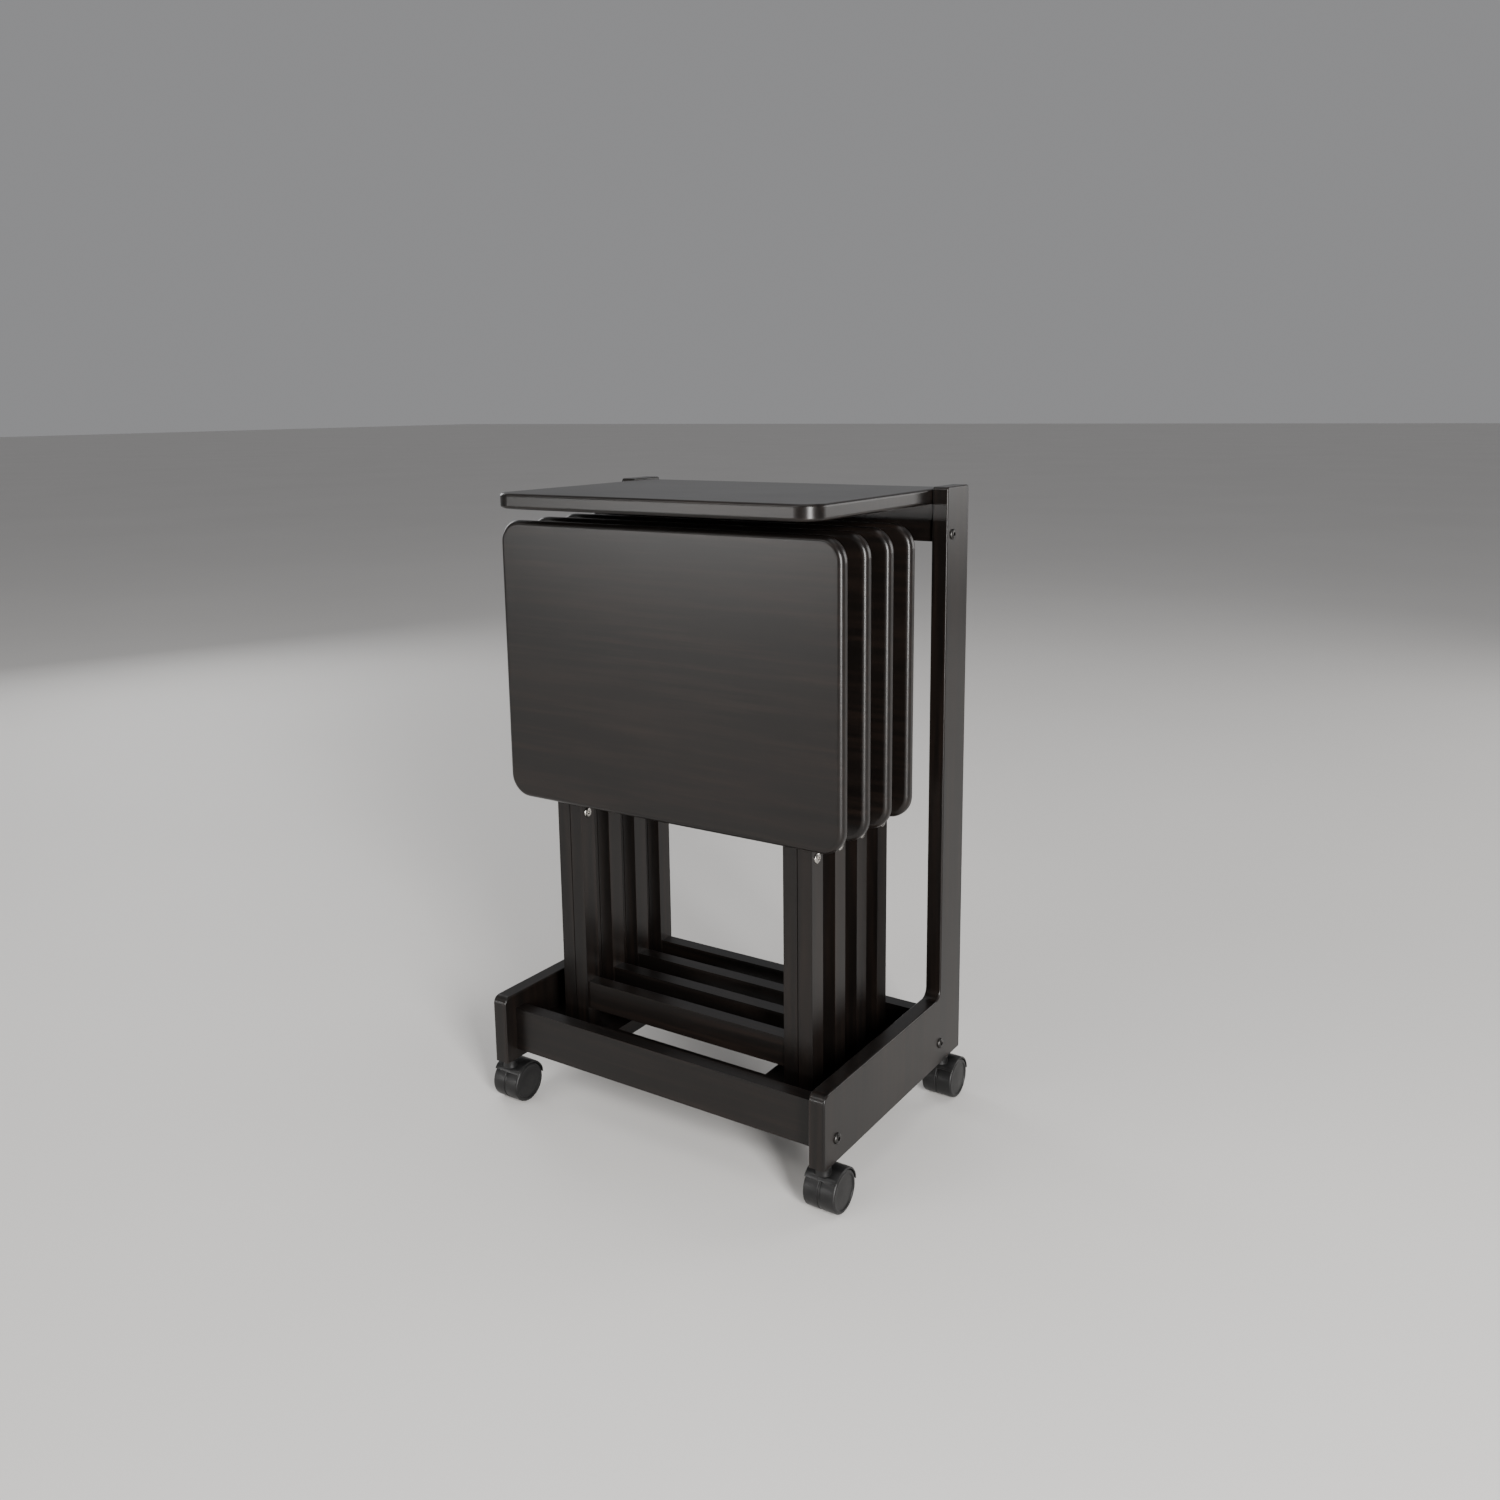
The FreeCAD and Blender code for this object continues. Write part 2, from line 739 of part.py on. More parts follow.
doc.recompute()
for thing in doc.Objects:
    if "Invalid" in thing.State or "Error" in thing.State:
        raise ValueError("bad state: " + thing.Label)
for thing in NODES:
    if thing.Shape.isNull() or not thing.Shape.isValid():
        raise ValueError("bad shape: " + thing.Label)

os.makedirs("parts", exist_ok=True)
for thing in NODES:
    thing.Shape.exportStep("parts/" + thing.Label + ".step")
print("nodes", len(NODES))
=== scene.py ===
import math
from collections import namedtuple

import bmesh
import bpy
from mathutils import Matrix, Vector


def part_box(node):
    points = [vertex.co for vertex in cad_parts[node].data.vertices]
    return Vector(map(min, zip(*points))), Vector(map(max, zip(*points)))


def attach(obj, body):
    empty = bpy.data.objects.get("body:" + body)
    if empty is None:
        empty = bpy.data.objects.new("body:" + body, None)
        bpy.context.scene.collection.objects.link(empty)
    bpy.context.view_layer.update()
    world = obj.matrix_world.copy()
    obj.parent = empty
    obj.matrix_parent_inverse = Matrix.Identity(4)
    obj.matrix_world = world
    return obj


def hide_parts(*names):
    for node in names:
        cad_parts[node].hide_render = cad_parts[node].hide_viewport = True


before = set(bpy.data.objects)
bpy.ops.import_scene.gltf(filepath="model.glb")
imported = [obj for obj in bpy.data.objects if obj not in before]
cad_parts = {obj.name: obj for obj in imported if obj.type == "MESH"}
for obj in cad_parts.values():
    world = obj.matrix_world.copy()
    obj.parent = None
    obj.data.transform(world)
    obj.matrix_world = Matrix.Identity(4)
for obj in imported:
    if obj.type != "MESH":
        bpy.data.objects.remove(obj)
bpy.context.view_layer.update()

MM = 0.001

# ---- materials ---------------------------------------------------------------------------------

# Sockets of the colour Mix node.
MIX_FACTOR, MIX_FIRST, MIX_SECOND, MIX_RESULT = 0, 6, 7, 2
# The part of a noise's 0 to 1 range that it mostly fills.
NOISE_LOW, NOISE_HIGH = 0.3, 0.7
BEVEL_SAMPLES = 4


def rgba(color):
    """A colour with its alpha. A socket is left as it is."""
    return color if isinstance(color, bpy.types.NodeSocket) else (*color, 1.0)


class Nodes:
    """A short way to write the node tree of one material."""

    def __init__(self, name):
        self.material = bpy.data.materials.new(name)
        self.material.use_nodes = True
        self.tree = self.material.node_tree
        self.tree.nodes.clear()
        self.shader = self.add("BsdfPrincipled")
        self.link(self.shader.outputs["BSDF"], self.add("OutputMaterial").inputs["Surface"])

    def link(self, source, target):
        self.tree.links.new(source, target)

    def add(self, kind, **settings):
        item = self.tree.nodes.new("ShaderNode" + kind)
        for key, setting in settings.items():
            setattr(item, key, setting)
        return item

    def feed(self, item, values):
        """Links each socket in values to its input, and sets each number or colour on its own."""
        for key, value in values.items():
            if isinstance(value, bpy.types.NodeSocket):
                self.link(value, item.inputs[key])
            else:
                item.inputs[key].default_value = value
        return item

    def math(self, operation, first, second):
        return self.feed(self.add("Math", operation=operation), {0: first, 1: second}).outputs[0]

    def coords(self):
        """Coordinates that ride with the piece, in metres."""
        return self.add("TexCoord").outputs["Object"]

    def stretched(self, coords, scale):
        return self.feed(self.add("Mapping"), {"Vector": coords, "Scale": scale}).outputs[0]

    def noise(self, coords, scale, detail, roughness, distortion=0.0):
        values = {
            "Vector": coords,
            "Scale": scale,
            "Detail": detail,
            "Roughness": roughness,
            "Distortion": distortion,
        }
        return self.feed(self.add("TexNoise"), values).outputs["Fac"]

    def ramp(self, factor, start, end, level=1.0):
        """Rises from 0 where factor is start to level where it is end."""
        item = self.add("ValToRGB")
        for element, place, grey in zip(item.color_ramp.elements, (start, end), (0.0, level)):
            element.position = place
            element.color = (grey, grey, grey, 1.0)
        self.link(factor, item.inputs["Fac"])
        return item.outputs["Color"]

    def remap(self, value, from_low, from_high, to_low=0.0, to_high=1.0):
        values = {
            "Value": value,
            "From Min": from_low,
            "From Max": from_high,
            "To Min": to_low,
            "To Max": to_high,
        }
        return self.feed(self.add("MapRange"), values).outputs["Result"]

    def mix(self, factor, first, second):
        values = {MIX_FACTOR: factor, MIX_FIRST: rgba(first), MIX_SECOND: rgba(second)}
        return self.feed(self.add("Mix", data_type="RGBA"), values).outputs[MIX_RESULT]

    def edges(self, radius, low, high):
        """Near 1 along sharp edges, 0 on flat faces."""
        bevel = self.feed(self.add("Bevel", samples=BEVEL_SAMPLES), {"Radius": radius})
        dot = self.add("VectorMath", operation="DOT_PRODUCT")
        self.link(bevel.outputs["Normal"], dot.inputs[0])
        self.link(self.add("NewGeometry").outputs["Normal"], dot.inputs[1])
        turned_away = self.math("SUBTRACT", 1.0, dot.outputs["Value"])
        return self.remap(turned_away, low, high)

    def bump(self, height, strength, distance):
        values = {"Height": height, "Strength": strength, "Distance": distance}
        return self.feed(self.add("Bump"), values).outputs["Normal"]

    def surface(self, **values):
        names = {
            "color": "Base Color",
            "roughness": "Roughness",
            "metallic": "Metallic",
            "normal": "Normal",
            "coat": "Coat Weight",
            "coat_roughness": "Coat Roughness",
            "specular": "Specular IOR Level",
        }
        self.feed(self.shader, {names[key]: value for key, value in values.items()})
        return self.material


ESPRESSO_DEEP = (0.0026, 0.0021, 0.0019)
ESPRESSO_MID = (0.0052, 0.0040, 0.0034)
ESPRESSO_WARM = (0.0120, 0.0078, 0.0060)
# Paler edge colour of the wood: partly worn lacquer, partly a painted highlight along the edges.
ESPRESSO_WEAR_AND_HIGHLIGHT = (0.0260, 0.0190, 0.0150)

# One layer of wood grain: noise waves per metre along and across the grain, and their shape.
Grain = namedtuple("Grain", "along across detail roughness distortion")
FIGURE = Grain(along=1.1, across=14.0, detail=5.0, roughness=0.6, distortion=0.3)
STREAKS = Grain(along=5.0, across=130.0, detail=4.0, roughness=0.6, distortion=0.0)
FIBRES = Grain(along=9.0, across=420.0, detail=4.0, roughness=0.6, distortion=0.0)
STREAK_COLOR = 0.75
PORE_DEPTH = 0.32
EDGE_WEAR_AND_HIGHLIGHT_AMOUNT = 0.25
CLOUD_IN_GLOSS, STREAKS_IN_GLOSS = 0.85, 0.15
PORES_IN_RELIEF, STREAKS_IN_RELIEF = 0.6, 0.7


def grain(n, place, axis, layer):
    scale = [layer.across] * 3
    scale["XYZ".index(axis)] = layer.along
    return n.noise(
        n.stretched(place, scale),
        scale=1.0,
        detail=layer.detail,
        roughness=layer.roughness,
        distortion=layer.distortion,
    )


def weighed_sum(n, first, first_weight, second, second_weight):
    return n.math(
        "ADD", n.math("MULTIPLY", first, first_weight), n.math("MULTIPLY", second, second_weight)
    )


def stained_wood(name, axis, low_rough, high_rough, coat):
    """Dark stained wood in satin lacquer. The grain runs along axis."""
    n = Nodes(name)
    place = n.coords()
    figure = n.ramp(grain(n, place, axis, FIGURE), 0.34, 0.68)
    streaks = grain(n, place, axis, STREAKS)
    pores = n.ramp(grain(n, place, axis, FIBRES), 0.30, 0.50)
    pore_mask = n.math("MULTIPLY", n.math("SUBTRACT", 1.0, pores), PORE_DEPTH)
    tone = n.mix(figure, ESPRESSO_DEEP, ESPRESSO_MID)
    tone = n.mix(n.ramp(streaks, 0.44, 0.74, STREAK_COLOR), tone, ESPRESSO_WARM)
    tone = n.mix(pore_mask, tone, ESPRESSO_DEEP)

    # Painted highlight: the edges are lightened in patches, partly for worn lacquer and partly for the
    # highlight along lit edges.
    wear_and_highlight_patches = n.noise(place, scale=26.0, detail=4.0, roughness=0.7)
    pale_edges = n.math(
        "MULTIPLY", n.edges(radius=0.0014, low=0.07, high=0.30), n.ramp(wear_and_highlight_patches, 0.42, 0.72, EDGE_WEAR_AND_HIGHLIGHT_AMOUNT)
    )
    tone = n.mix(pale_edges, tone, ESPRESSO_WEAR_AND_HIGHLIGHT)

    cloud = n.noise(place, scale=7.0, detail=3.0, roughness=0.5)
    gloss = weighed_sum(n, cloud, CLOUD_IN_GLOSS, streaks, STREAKS_IN_GLOSS)
    relief = weighed_sum(n, pores, PORES_IN_RELIEF, streaks, STREAKS_IN_RELIEF)
    return n.surface(
        color=tone,
        roughness=n.remap(gloss, NOISE_LOW, NOISE_HIGH, low_rough, high_rough),
        normal=n.bump(relief, strength=0.04, distance=0.00005),
        coat=coat,
        coat_roughness=0.285,
        specular=0.10,
    )


NYLON_DEEP = (0.0040, 0.0040, 0.0042)
NYLON_PALE = (0.0080, 0.0079, 0.0078)
NYLON_WORN = (0.045, 0.044, 0.043)
DUST = (0.040, 0.037, 0.034)
NYLON_EDGE_WEAR = 0.45


def black_nylon(name, low_rough, high_rough, dusty):
    """Moulded black nylon with a fine texture, pale edges and patches of dust."""
    n = Nodes(name)
    place = n.coords()
    cloud = n.noise(place, scale=60.0, detail=4.0, roughness=0.6)
    fine = n.noise(place, scale=1500.0, detail=2.0, roughness=0.5)
    scuff = n.noise(place, scale=210.0, detail=5.0, roughness=0.75)
    pale_edges = n.math("MULTIPLY", n.edges(radius=0.0008, low=0.02, high=0.3), NYLON_EDGE_WEAR)
    tone = n.mix(n.ramp(cloud, NOISE_LOW, NOISE_HIGH), NYLON_DEEP, NYLON_PALE)
    tone = n.mix(n.ramp(scuff, 0.56, 0.8, dusty), tone, DUST)
    tone = n.mix(pale_edges, tone, NYLON_WORN)
    return n.surface(
        color=tone,
        roughness=n.remap(cloud, NOISE_LOW, NOISE_HIGH, low_rough, high_rough),
        normal=n.bump(fine, strength=0.16, distance=0.00008),
        specular=0.28,
    )


STEEL_LINES = (2600.0, 260.0, 260.0)


def plated_steel(name, bright, dark, low_rough, high_rough):
    """Plated steel with faint turning marks round the X axis."""
    n = Nodes(name)
    place = n.coords()
    cloud = n.noise(place, scale=240.0, detail=4.0, roughness=0.6)
    lines = n.noise(n.stretched(place, STEEL_LINES), scale=1.0, detail=2.0, roughness=0.5)
    gloss = n.math("MULTIPLY", n.math("ADD", cloud, lines), 0.5)
    return n.surface(
        color=n.mix(n.ramp(cloud, 0.3, 0.75), bright, dark),
        roughness=n.remap(gloss, NOISE_LOW, NOISE_HIGH, low_rough, high_rough),
        metallic=1.0,
        normal=n.bump(lines, strength=0.08, distance=0.0001),
    )


# The lacquer's roughness stays above 0.28. Contour marks show in a render where it crosses that.
WOOD = {
    axis: stained_wood("stained_wood_" + axis.lower(), axis, low_rough=0.29, high_rough=0.37, coat=0.36)
    for axis in "XYZ"
}
TOP = stained_wood("stained_top", "X", low_rough=0.29, high_rough=0.35, coat=0.42)
NYLON_HOOD = black_nylon("black_nylon_hood", low_rough=0.30, high_rough=0.42, dusty=0.25)
NYLON_WHEEL = black_nylon("black_nylon_wheel", low_rough=0.34, high_rough=0.50, dusty=0.35)
BRIGHT_STEEL = plated_steel(
    "zinc_steel", (0.50, 0.48, 0.45), (0.30, 0.29, 0.27), low_rough=0.18, high_rough=0.26
)
DARK_STEEL = plated_steel(
    "dark_steel", (0.060, 0.058, 0.056), (0.028, 0.027, 0.026), low_rough=0.30, high_rough=0.48
)

# ---- the CAD nodes -------------------------------------------------------------------------------


def node_material(name):
    """The material of a CAD node. Wood that is not named here has its grain along X."""
    if name == "cart_top_board" or name.endswith("_tray"):
        return TOP
    if name.startswith("cart_side") or name.endswith(("_legs", "_hinge_cleats", "_rest_saddles")):
        return WOOD["Z"]
    if name in ("cart_floor_left", "cart_floor_right"):
        return WOOD["Y"]
    if name.endswith("_wheels"):
        return NYLON_WHEEL
    if name.endswith(("_hood", "_sockets")):
        return NYLON_HOOD
    if name.endswith(("_pins", "_pivot_bolts")):
        return BRIGHT_STEEL
    if name in ("cart_frame_bolts", "cart_barrel_nuts"):
        return DARK_STEEL
    return WOOD["X"]


# Widths of the softened edges, in metres, by the ending of a node's name.
SOFT_EDGES = {"_legs": 0.0022, "_rails": 0.0020, "_cleats": 0.0015, "_saddles": 0.0012}
BOARD_EDGE = 0.0018
FINE_EDGE = 0.0003
# Nodes of the cart that are not boards, or whose CAD shape has its rounding already.
CART_FINE = ("_bolts", "_nuts", "_sockets", "_top_board")
EDGE_SEGMENTS = 3
EDGE_ANGLE = math.radians(40)


def edge_width(name):
    for ending, width in SOFT_EDGES.items():
        if name.endswith(ending):
            return width
    if name.startswith("cart_") and not name.endswith(CART_FINE):
        return BOARD_EDGE
    return FINE_EDGE


def soften(thing, width):
    """Breaks the sharp edges of a piece, as sandpaper does."""
    bevel = thing.modifiers.new("softened", "BEVEL")
    bevel.width = width
    bevel.segments = EDGE_SEGMENTS
    bevel.limit_method = "ANGLE"
    bevel.angle_limit = EDGE_ANGLE
    bevel.harden_normals = True


for name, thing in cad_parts.items():
    if not thing.material_slots:
        thing.data.materials.append(node_material(name))
    for own in thing.material_slots:
        own.material = node_material(name)
    for polygon in thing.data.polygons:
        polygon.use_smooth = True
    soften(thing, edge_width(name))

# ---- mesh helpers --------------------------------------------------------------------------------

SHARP_ANGLE = math.radians(35)
HEXAGON_HALF = math.pi / 6


def piece(name, bm, body, material, nodes=()):
    """Makes a piece of the mesh in bm, parents it to its body and hides the CAD nodes that it replaces.
    """
    bmesh.ops.recalc_face_normals(bm, faces=bm.faces)
    mesh = bpy.data.meshes.new(name)
    bm.to_mesh(mesh)
    bm.free()
    thing = bpy.data.objects.new(name, mesh)
    bpy.context.scene.collection.objects.link(thing)
    mesh.materials.append(material)
    for polygon in mesh.polygons:
        polygon.use_smooth = True
    mesh.set_sharp_from_angle(angle=SHARP_ANGLE)
    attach(thing, body)
    if nodes:
        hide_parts(*nodes)


def turned(bm, profile, matrix, segments):
    """Adds a solid of revolution about the local Z.

    A point of the profile is (height, radius) in millimetres. A third value, True, makes its
    ring a hexagon. Radius 0 closes an end.
    """
    rings = []
    for height, radius, *hexagonal in profile:
        height, radius = height * MM, radius * MM
        if radius == 0:
            rings.append([bm.verts.new(matrix @ Vector((0, 0, height)))])
            continue
        ring = []
        for step in range(segments):
            angle = 2 * math.pi * step / segments
            reach = radius
            if hexagonal:
                folded = angle % (2 * HEXAGON_HALF) - HEXAGON_HALF
                reach = radius * math.cos(HEXAGON_HALF) / math.cos(folded)
            spot = Vector((reach * math.cos(angle), reach * math.sin(angle), height))
            ring.append(bm.verts.new(matrix @ spot))
        rings.append(ring)
    for low, high in zip(rings, rings[1:]):
        for step in range(segments):
            after = (step + 1) % segments
            if len(low) == 1:
                bm.faces.new((low[0], high[after], high[step]))
            elif len(high) == 1:
                bm.faces.new((low[step], low[after], high[0]))
            else:
                bm.faces.new((low[step], low[after], high[after], high[step]))


def arc(centre, radius, start, end, steps):
    """Points on an arc in the (height, radius) plane, with angles in degrees from the height axis."""
    points = []
    for step in range(steps + 1):
        angle = math.radians(start + (end - start) * step / steps)
        points.append((centre[0] + radius * math.cos(angle), centre[1] + radius * math.sin(angle)))
    return points


def facing_x(place, sign):
    """A local frame at place whose Z points along +X or -X."""
    return Matrix.Translation(Vector(place)) @ Matrix.Rotation(math.radians(90 * sign), 4, "Y")


# ---- bolts ---------------------------------------------------------------------------------------

# A domed bolt head with a hexagon socket, in millimetres. The socket's size is its corner radius.
Head = namedtuple("Head", "radius tall socket deep")
FRAME_HEAD = Head(radius=6.5, tall=2.9, socket=2.5, deep=1.9)
PIVOT_HEAD = Head(radius=6.5, tall=2.0, socket=2.1, deep=1.3)
HEAD_LAND = 0.15
HEAD_SEGMENTS = 48
DOME_SWEEP = math.radians(84)
DOME_STEPS = 7
# The dome's inner edge and the flat's inner edge, as multiples of the socket's size.
DOME_END, SOCKET_RIM = 1.25, 1.12
SOCKET_LEAD = 0.25
SOCKET_POINT = 0.5
SHANK_CHAMFER = 0.6


def button_head(bm, place, sign, head, shank_radius, shank_long):
    """A domed head whose seat is at place, with its shank running back from it."""
    profile = [
        (-shank_long, 0),
        (-shank_long, shank_radius - SHANK_CHAMFER),
        (-shank_long + SHANK_CHAMFER, shank_radius),
        (0, shank_radius),
        (0, head.radius - HEAD_LAND),
        (HEAD_LAND, head.radius),
    ]
    dome_tall = head.tall - HEAD_LAND
    dome_wide = head.radius - head.socket * DOME_END
    for step in range(1, DOME_STEPS + 1):
        angle = DOME_SWEEP * step / DOME_STEPS
        rise = math.sin(angle) / math.sin(DOME_SWEEP)
        inward = (1 - math.cos(angle)) / (1 - math.cos(DOME_SWEEP))
        profile.append((HEAD_LAND + dome_tall * rise, head.radius - dome_wide * inward))
    profile += [
        (head.tall, head.socket * SOCKET_RIM),
        (head.tall - SOCKET_LEAD, head.socket, True),
        (head.tall - head.deep, head.socket, True),
        (head.tall - head.deep - SOCKET_POINT, 0),
    ]
    turned(bm, profile, facing_x(place, sign), HEAD_SEGMENTS)


def middle(name, axis):
    """The middle of a node's box along axis 0, 1 or 2."""
    low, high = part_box(name)
    return (low[axis] + high[axis]) / 2


def frame_bolts():
    """Three bolts a side: in the front board, the back board and the top rail."""
    outer_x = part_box("cart_side_right")[1][0]
    bolts_low, bolts_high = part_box("cart_frame_bolts")
    base_z = bolts_low[2] + FRAME_HEAD.radius * MM
    rail_z = bolts_high[2] - FRAME_HEAD.radius * MM
    spots = [
        (middle("cart_front_board", 1), base_z),
        (middle("cart_back_board", 1), base_z),
        (middle("cart_top_rail", 1), rail_z),
    ]
    bm = bmesh.new()
    for sign in (-1, 1):
        for y, z in spots:
            button_head(
                bm, (sign * outer_x, y, z), sign, FRAME_HEAD, shank_radius=3.0, shank_long=54.0
            )
    piece("frame_bolts", bm, "cart", DARK_STEEL, ["cart_frame_bolts"])


frame_bolts()

# ---- pivot bolts, washers and screws of the tables -----------------------------------------------

TABLE_BODIES = ["front_table_frames", "second_table", "third_table", "fourth_table"]
TRAY_BODIES = ["front_table_tray", "second_table", "third_table", "fourth_table"]

# From the middle of the table to the inner legs' inner faces, in metres.
INNER_LEG_INNER_FACE = 0.148
SHANK_GAP = 0.4
# The washer in the seam between the legs, in millimetres from the inner leg's outer face.
SEAM_WASHER = [(0.02, 3.3), (0.02, 7.7), (0.25, 8.0), (0.75, 8.0), (0.98, 7.7), (0.98, 3.3), (0.02, 3.3)]
WASHER_SEGMENTS = 40
SAME_SPOT = 1e-7


def pivot_set(number):
    """Both pivot bolts of a table: a head outside, a cap nut inside, and the washer between the legs."""
    label = "table_%d_" % number
    bolts = label + "pivot_bolts"
    y, z = middle(bolts, 1), middle(bolts, 2)
    outer_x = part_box(label + "outer_legs")[1][0]
    seam_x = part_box(label + "inner_legs")[1][0]
    shank_long = (outer_x - INNER_LEG_INNER_FACE) / MM - SHANK_GAP
    bm = bmesh.new()
    for sign in (-1, 1):
        button_head(
            bm, (sign * outer_x, y, z), sign, PIVOT_HEAD, shank_radius=2.9, shank_long=shank_long
        )
        button_head(
            bm,
            (sign * INNER_LEG_INNER_FACE, y, z),
            -sign,
            PIVOT_HEAD,
            shank_radius=2.0,
            shank_long=0.3,
        )
        turned(bm, SEAM_WASHER, facing_x((sign * seam_x, y, z), sign), WASHER_SEGMENTS)
    bmesh.ops.remove_doubles(bm, verts=bm.verts, dist=SAME_SPOT)
    piece(label + "pivots", bm, TABLE_BODIES[number - 1], BRIGHT_STEEL, [bolts])


CLEAT_SCREW, SADDLE_SCREW = 3.6, 2.6
SCREW_SEGMENTS = 24
CLEAT_THICK = 0.012
CLEAT_SCREW_INSET = 0.008
CLEAT_SCREW_RISE = 0.0225
SADDLE_SCREW_INSET = 0.009
SADDLE_SCREW_EDGE = 0.0045


def screw_head(bm, place, radius):
    """A countersunk screw head that faces +Y, set just proud of the wood."""
    profile = [
        (-0.4, 0),
        (-0.4, radius * 0.8),
        (0.05, radius),
        (0.3, radius * 0.93),
        (0.42, radius * 0.6),
        (0.42, radius * 0.42),
        (0.1, radius * 0.16),
        (-0.15, 0),
    ]
    facing_y = Matrix.Rotation(math.radians(-90), 4, "X")
    turned(bm, profile, Matrix.Translation(Vector(place)) @ facing_y, SCREW_SEGMENTS)


def tray_screws(number):
    """Screws that hold the hinge cleats and rest saddles to the tray."""
    label = "table_%d_" % number
    cleat_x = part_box(label + "hinge_cleats")[1][0] - CLEAT_SCREW_INSET
    cleat_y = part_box(label + "tray")[1][1] + CLEAT_THICK
    cleat_z = middle(label + "hinge_cleats", 2)
    saddle_low, saddle_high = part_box(label + "rest_saddles")
    saddle_x = saddle_high[0] - SADDLE_SCREW_INSET
    bm = bmesh.new()
    for sign in (-1, 1):
        for rise in (-CLEAT_SCREW_RISE, CLEAT_SCREW_RISE):
            screw_head(bm, (sign * cleat_x, cleat_y, cleat_z + rise), CLEAT_SCREW)
        for z in (saddle_low[2] + SADDLE_SCREW_EDGE, saddle_high[2] - SADDLE_SCREW_EDGE):
            screw_head(bm, (sign * saddle_x, saddle_high[1], z), SADDLE_SCREW)
    piece(label + "screws", bm, TRAY_BODIES[number - 1], DARK_STEEL)


for table_number in range(1, len(TABLE_BODIES) + 1):
    pivot_set(table_number)
    tray_screws(table_number)

# ---- casters -------------------------------------------------------------------------------------

# Sizes in millimetres, angles in degrees round the axle from the stem's side, which is -Y.
WHEEL_MIDDLE_Z = 25.0
WHEEL_SEGMENTS = 96
WHEEL_PROFILE = [(1.5, 0), (1.5, 24.2)]
WHEEL_PROFILE += arc((2.3, 24.2), 0.8, 170, 90, 4)
WHEEL_PROFILE += arc((17.6, 22.2), 2.8, 90, 20, 7)
WHEEL_PROFILE += [(20.4, 21.4), (20.1, 20.7), (19.3, 20.3), (19.2, 19.6)]
WHEEL_PROFILE += [(19.6, 15.0), (19.9, 9.0), (20.1, 4.0), (20.1, 0)]

STEM_RADIUS = 4.0
BOSS_PROFILE = [(48.6, 0), (48.6, 9.6), (51.0, 9.3), (52.6, 9.0)]
BOSS_PROFILE += [(57.4, 8.9), (58.3, 8.0), (58.4, 4.1), (58.4, 0)]
BOSS_SEGMENTS = 48

HOOD_START = 41.0
HOOD_END = 171.0
HOOD_STEPS = 40
HOOD_INSIDE = 25.7
HOOD_RIDGE = 28.0
# Half of the hood's section, as (distance from the middle, radius), from its inside to its ridge.
HOOD_HALF_SECTION = [(20.5, HOOD_INSIDE), (20.5, 26.8), (20.1, 27.55), (19.3, 27.9), (10.0, HOOD_RIDGE)]
# The hood's thickness at each end, as a part of the full one, and how fast it grows from there.
HOOD_END_THICKNESS = 0.35
HOOD_TAPER = 9.0

WEB_HALF = 1.0
WEB_TOP_RADIUS = 26.2
WEB_TOP_STEPS = 28
WEB_FRONT_RADIUS = 24.3
WEB_FRONT_START = -78.0
WEB_FRONT_STEPS = 18
WEB_BACK_CORNERS = [(11.0, -3.0), (6.0, -10.0)]


def round_axle(radius, start, end, steps):
    """(y, z) points round the axle, from the angle start to the angle end."""
    points = arc((0.0, 0.0), radius, start, end, steps)
    return [(-ahead, up) for ahead, up in points]


def closed_sweep(bm, rings):
    """Joins rings of vertices into a closed solid, with a flat face at each end."""
    count = len(rings[0])
    for low, high in zip(rings, rings[1:]):
        for index in range(count):
            after = (index + 1) % count
            bm.faces.new((low[index], low[after], high[after], high[index]))
    bm.faces.new(rings[0])
    bm.faces.new(list(reversed(rings[-1])))


def hood_shell(bm, centre):
    """The arched cover over both wheels, swept round the axle from the stem's side to the lip."""
    section = HOOD_HALF_SECTION + [(0.0, HOOD_RIDGE)]
    section += [(-across, radius) for across, radius in reversed(HOOD_HALF_SECTION)]
    rings = []
    for step in range(HOOD_STEPS + 1):
        part = step / HOOD_STEPS
        angle = math.radians(HOOD_START + (HOOD_END - HOOD_START) * part)
        taper = min(1.0, HOOD_END_THICKNESS + HOOD_TAPER * min(part, 1.0 - part))
        ring = []
        for across, radius in section:
            reach = HOOD_INSIDE + (radius - HOOD_INSIDE) * taper
            spot = Vector((across, -reach * math.cos(angle), reach * math.sin(angle)))
            ring.append(bm.verts.new(centre + spot * MM))
        rings.append(ring)
    closed_sweep(bm, rings)


def web(bm, centre):
    """The plate between the wheels that carries the axle."""
    points = round_axle(WEB_TOP_RADIUS, HOOD_START, HOOD_END, WEB_TOP_STEPS)
    points += WEB_BACK_CORNERS
    points += round_axle(WEB_FRONT_RADIUS, WEB_FRONT_START, HOOD_START, WEB_FRONT_STEPS)
    sides = []
    for across in (-WEB_HALF, WEB_HALF):
        sides.append([bm.verts.new(centre + Vector((across, y, z)) * MM) for y, z in points])
    closed_sweep(bm, sides)


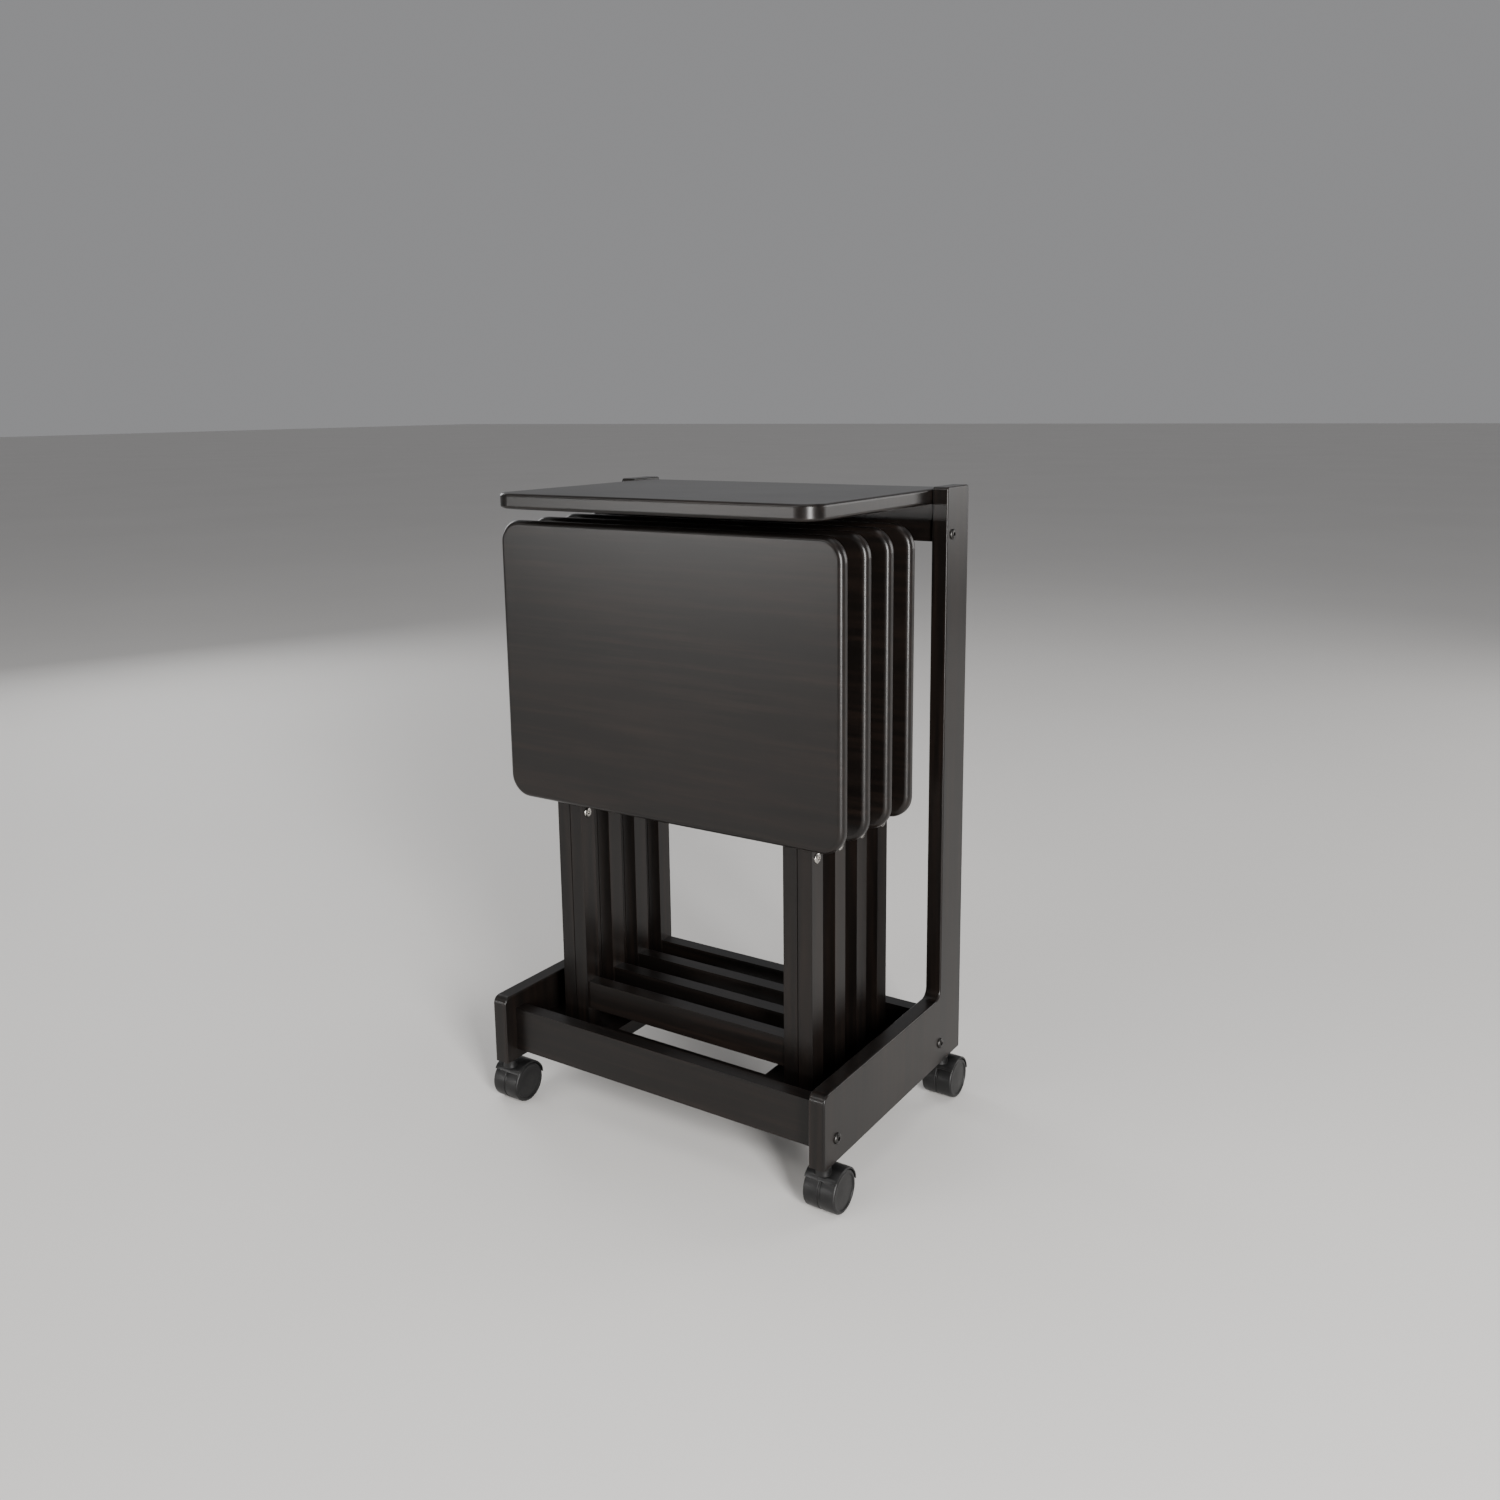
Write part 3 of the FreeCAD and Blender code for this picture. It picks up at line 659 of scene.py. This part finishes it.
def caster(label):
    """The two wheel discs of a caster, and its cover with the web and the stem's boss."""
    wheels, hood = label + "_wheels", label + "_hood"
    centre = Vector((middle(wheels, 0), middle(wheels, 1), WHEEL_MIDDLE_Z * MM))
    stem_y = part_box(label + "_pins")[0][1] + STEM_RADIUS * MM

    bm = bmesh.new()
    for sign in (-1, 1):
        turned(bm, WHEEL_PROFILE, facing_x(centre, sign), WHEEL_SEGMENTS)
    piece(label + "_discs", bm, label + "_wheels", NYLON_WHEEL, [wheels])

    bm = bmesh.new()
    hood_shell(bm, centre)
    web(bm, centre)
    turned(bm, BOSS_PROFILE, Matrix.Translation(Vector((centre.x, stem_y, 0))), BOSS_SEGMENTS)
    piece(label + "_cover", bm, label + "_swivel", NYLON_HOOD, [hood])


for end_name in ("front", "back"):
    for side_name in ("left", "right"):
        caster("caster_%s_%s" % (end_name, side_name))

# ---- floor, light and camera ---------------------------------------------------------------------

FLOOR_HALF = 45.0
FLOOR_DARK = (0.66, 0.645, 0.625)
FLOOR_PALE = (0.72, 0.705, 0.685)
FLOOR_ROUGHNESS = 0.62


def floor():
    n = Nodes("pale_floor")
    cloud = n.noise(n.coords(), scale=0.9, detail=3.0, roughness=0.5)
    material = n.surface(color=n.mix(cloud, FLOOR_DARK, FLOOR_PALE), roughness=FLOOR_ROUGHNESS)

    bm = bmesh.new()
    corners = ((-1, -1), (1, -1), (1, 1), (-1, 1))
    bm.faces.new([bm.verts.new((x * FLOOR_HALF, y * FLOOR_HALF, 0)) for x, y in corners])
    mesh = bpy.data.meshes.new("floor")
    bm.to_mesh(mesh)
    bm.free()
    thing = bpy.data.objects.new("floor", mesh)
    bpy.context.scene.collection.objects.link(thing)
    mesh.materials.append(material)


floor()

# Name, place, aim, size, power in watts and colour of each soft light.
LIGHTS = [
    ("key", (-1.2, -2.6, 2.6), (0, 0, 0.45), (2.4, 0.8), 32, (1.0, 0.985, 0.96)),
    ("low_front", (-2.9, -4.8, 0.75), (0.10, -0.1, 0.75), (2.2, 0.5), 88, (1.0, 0.99, 0.975)),
    ("back_right", (2.3, 3.0, 1.25), (0, 0, 0.40), (1.6, 1.7), 38, (1.0, 0.985, 0.97)),
    ("back_left", (-3.2, 1.2, 1.6), (0, 0, 0.40), (1.2, 1.6), 26, (0.98, 0.99, 1.0)),
    ("front_right", (2.5, -1.9, 1.05), (0.2, 0, 0.5), (0.7, 1.9), 215, (1.0, 0.99, 0.98)),
    ("top_sheen", (-0.9, 2.4, 2.4), (0, 0, 0.7), (2.0, 1.0), 4, (0.97, 0.98, 1.0)),
    ("overhead", (0, -0.2, 4.2), (0, -0.2, 0), (3.2, 3.2), 40, (1.0, 1.0, 1.0)),
]
WORLD_COLOR = (0.90, 0.90, 0.92, 1.0)
WORLD_STRENGTH = 0.31


def area_light(name, place, target, size, power, color):
    data = bpy.data.lights.new(name, "AREA")
    data.shape = "RECTANGLE"
    data.size, data.size_y = size
    data.energy = power
    data.color = color
    lamp = bpy.data.objects.new(name, data)
    bpy.context.scene.collection.objects.link(lamp)
    lamp.location = place
    lamp.rotation_mode = "QUATERNION"
    lamp.rotation_quaternion = (Vector(target) - Vector(place)).to_track_quat("-Z", "Y")


for light in LIGHTS:
    area_light(*light)

world = bpy.data.worlds.new("studio")
world.use_nodes = True
background = world.node_tree.nodes["Background"]
background.inputs["Color"].default_value = WORLD_COLOR
background.inputs["Strength"].default_value = WORLD_STRENGTH
bpy.context.scene.world = world

# The photograph's view, in metres and radians. The lens and sensor are in millimetres.
CAMERA_PLACE = Vector((0.9181, -1.3449, 0.8910))
CAMERA_YAW = 0.5798
CAMERA_PITCH = 0.1840
CAMERA_ROLL = -0.0115
CAMERA_LENS = 32.32
CAMERA_SENSOR = 36.0
CAMERA_SHIFT = -0.0653
CAMERA_NEAR, CAMERA_FAR = 0.05, 150.0


def make_camera():
    data = bpy.data.cameras.new("camera")
    data.sensor_width = CAMERA_SENSOR
    data.lens = CAMERA_LENS
    data.shift_y = CAMERA_SHIFT
    data.clip_start, data.clip_end = CAMERA_NEAR, CAMERA_FAR
    level = Vector((-math.sin(CAMERA_YAW), math.cos(CAMERA_YAW), 0))
    right = Vector((math.cos(CAMERA_YAW), math.sin(CAMERA_YAW), 0))
    up = Vector((0, 0, 1))
    look = level * math.cos(CAMERA_PITCH) - up * math.sin(CAMERA_PITCH)
    rise = up * math.cos(CAMERA_PITCH) + level * math.sin(CAMERA_PITCH)
    side = right * math.cos(CAMERA_ROLL) + rise * math.sin(CAMERA_ROLL)
    crown = rise * math.cos(CAMERA_ROLL) - right * math.sin(CAMERA_ROLL)
    matrix = Matrix((side, crown, -look)).transposed().to_4x4()
    matrix.translation = CAMERA_PLACE
    camera = bpy.data.objects.new("camera", data)
    bpy.context.scene.collection.objects.link(camera)
    camera.matrix_world = matrix
    bpy.context.scene.camera = camera


make_camera()
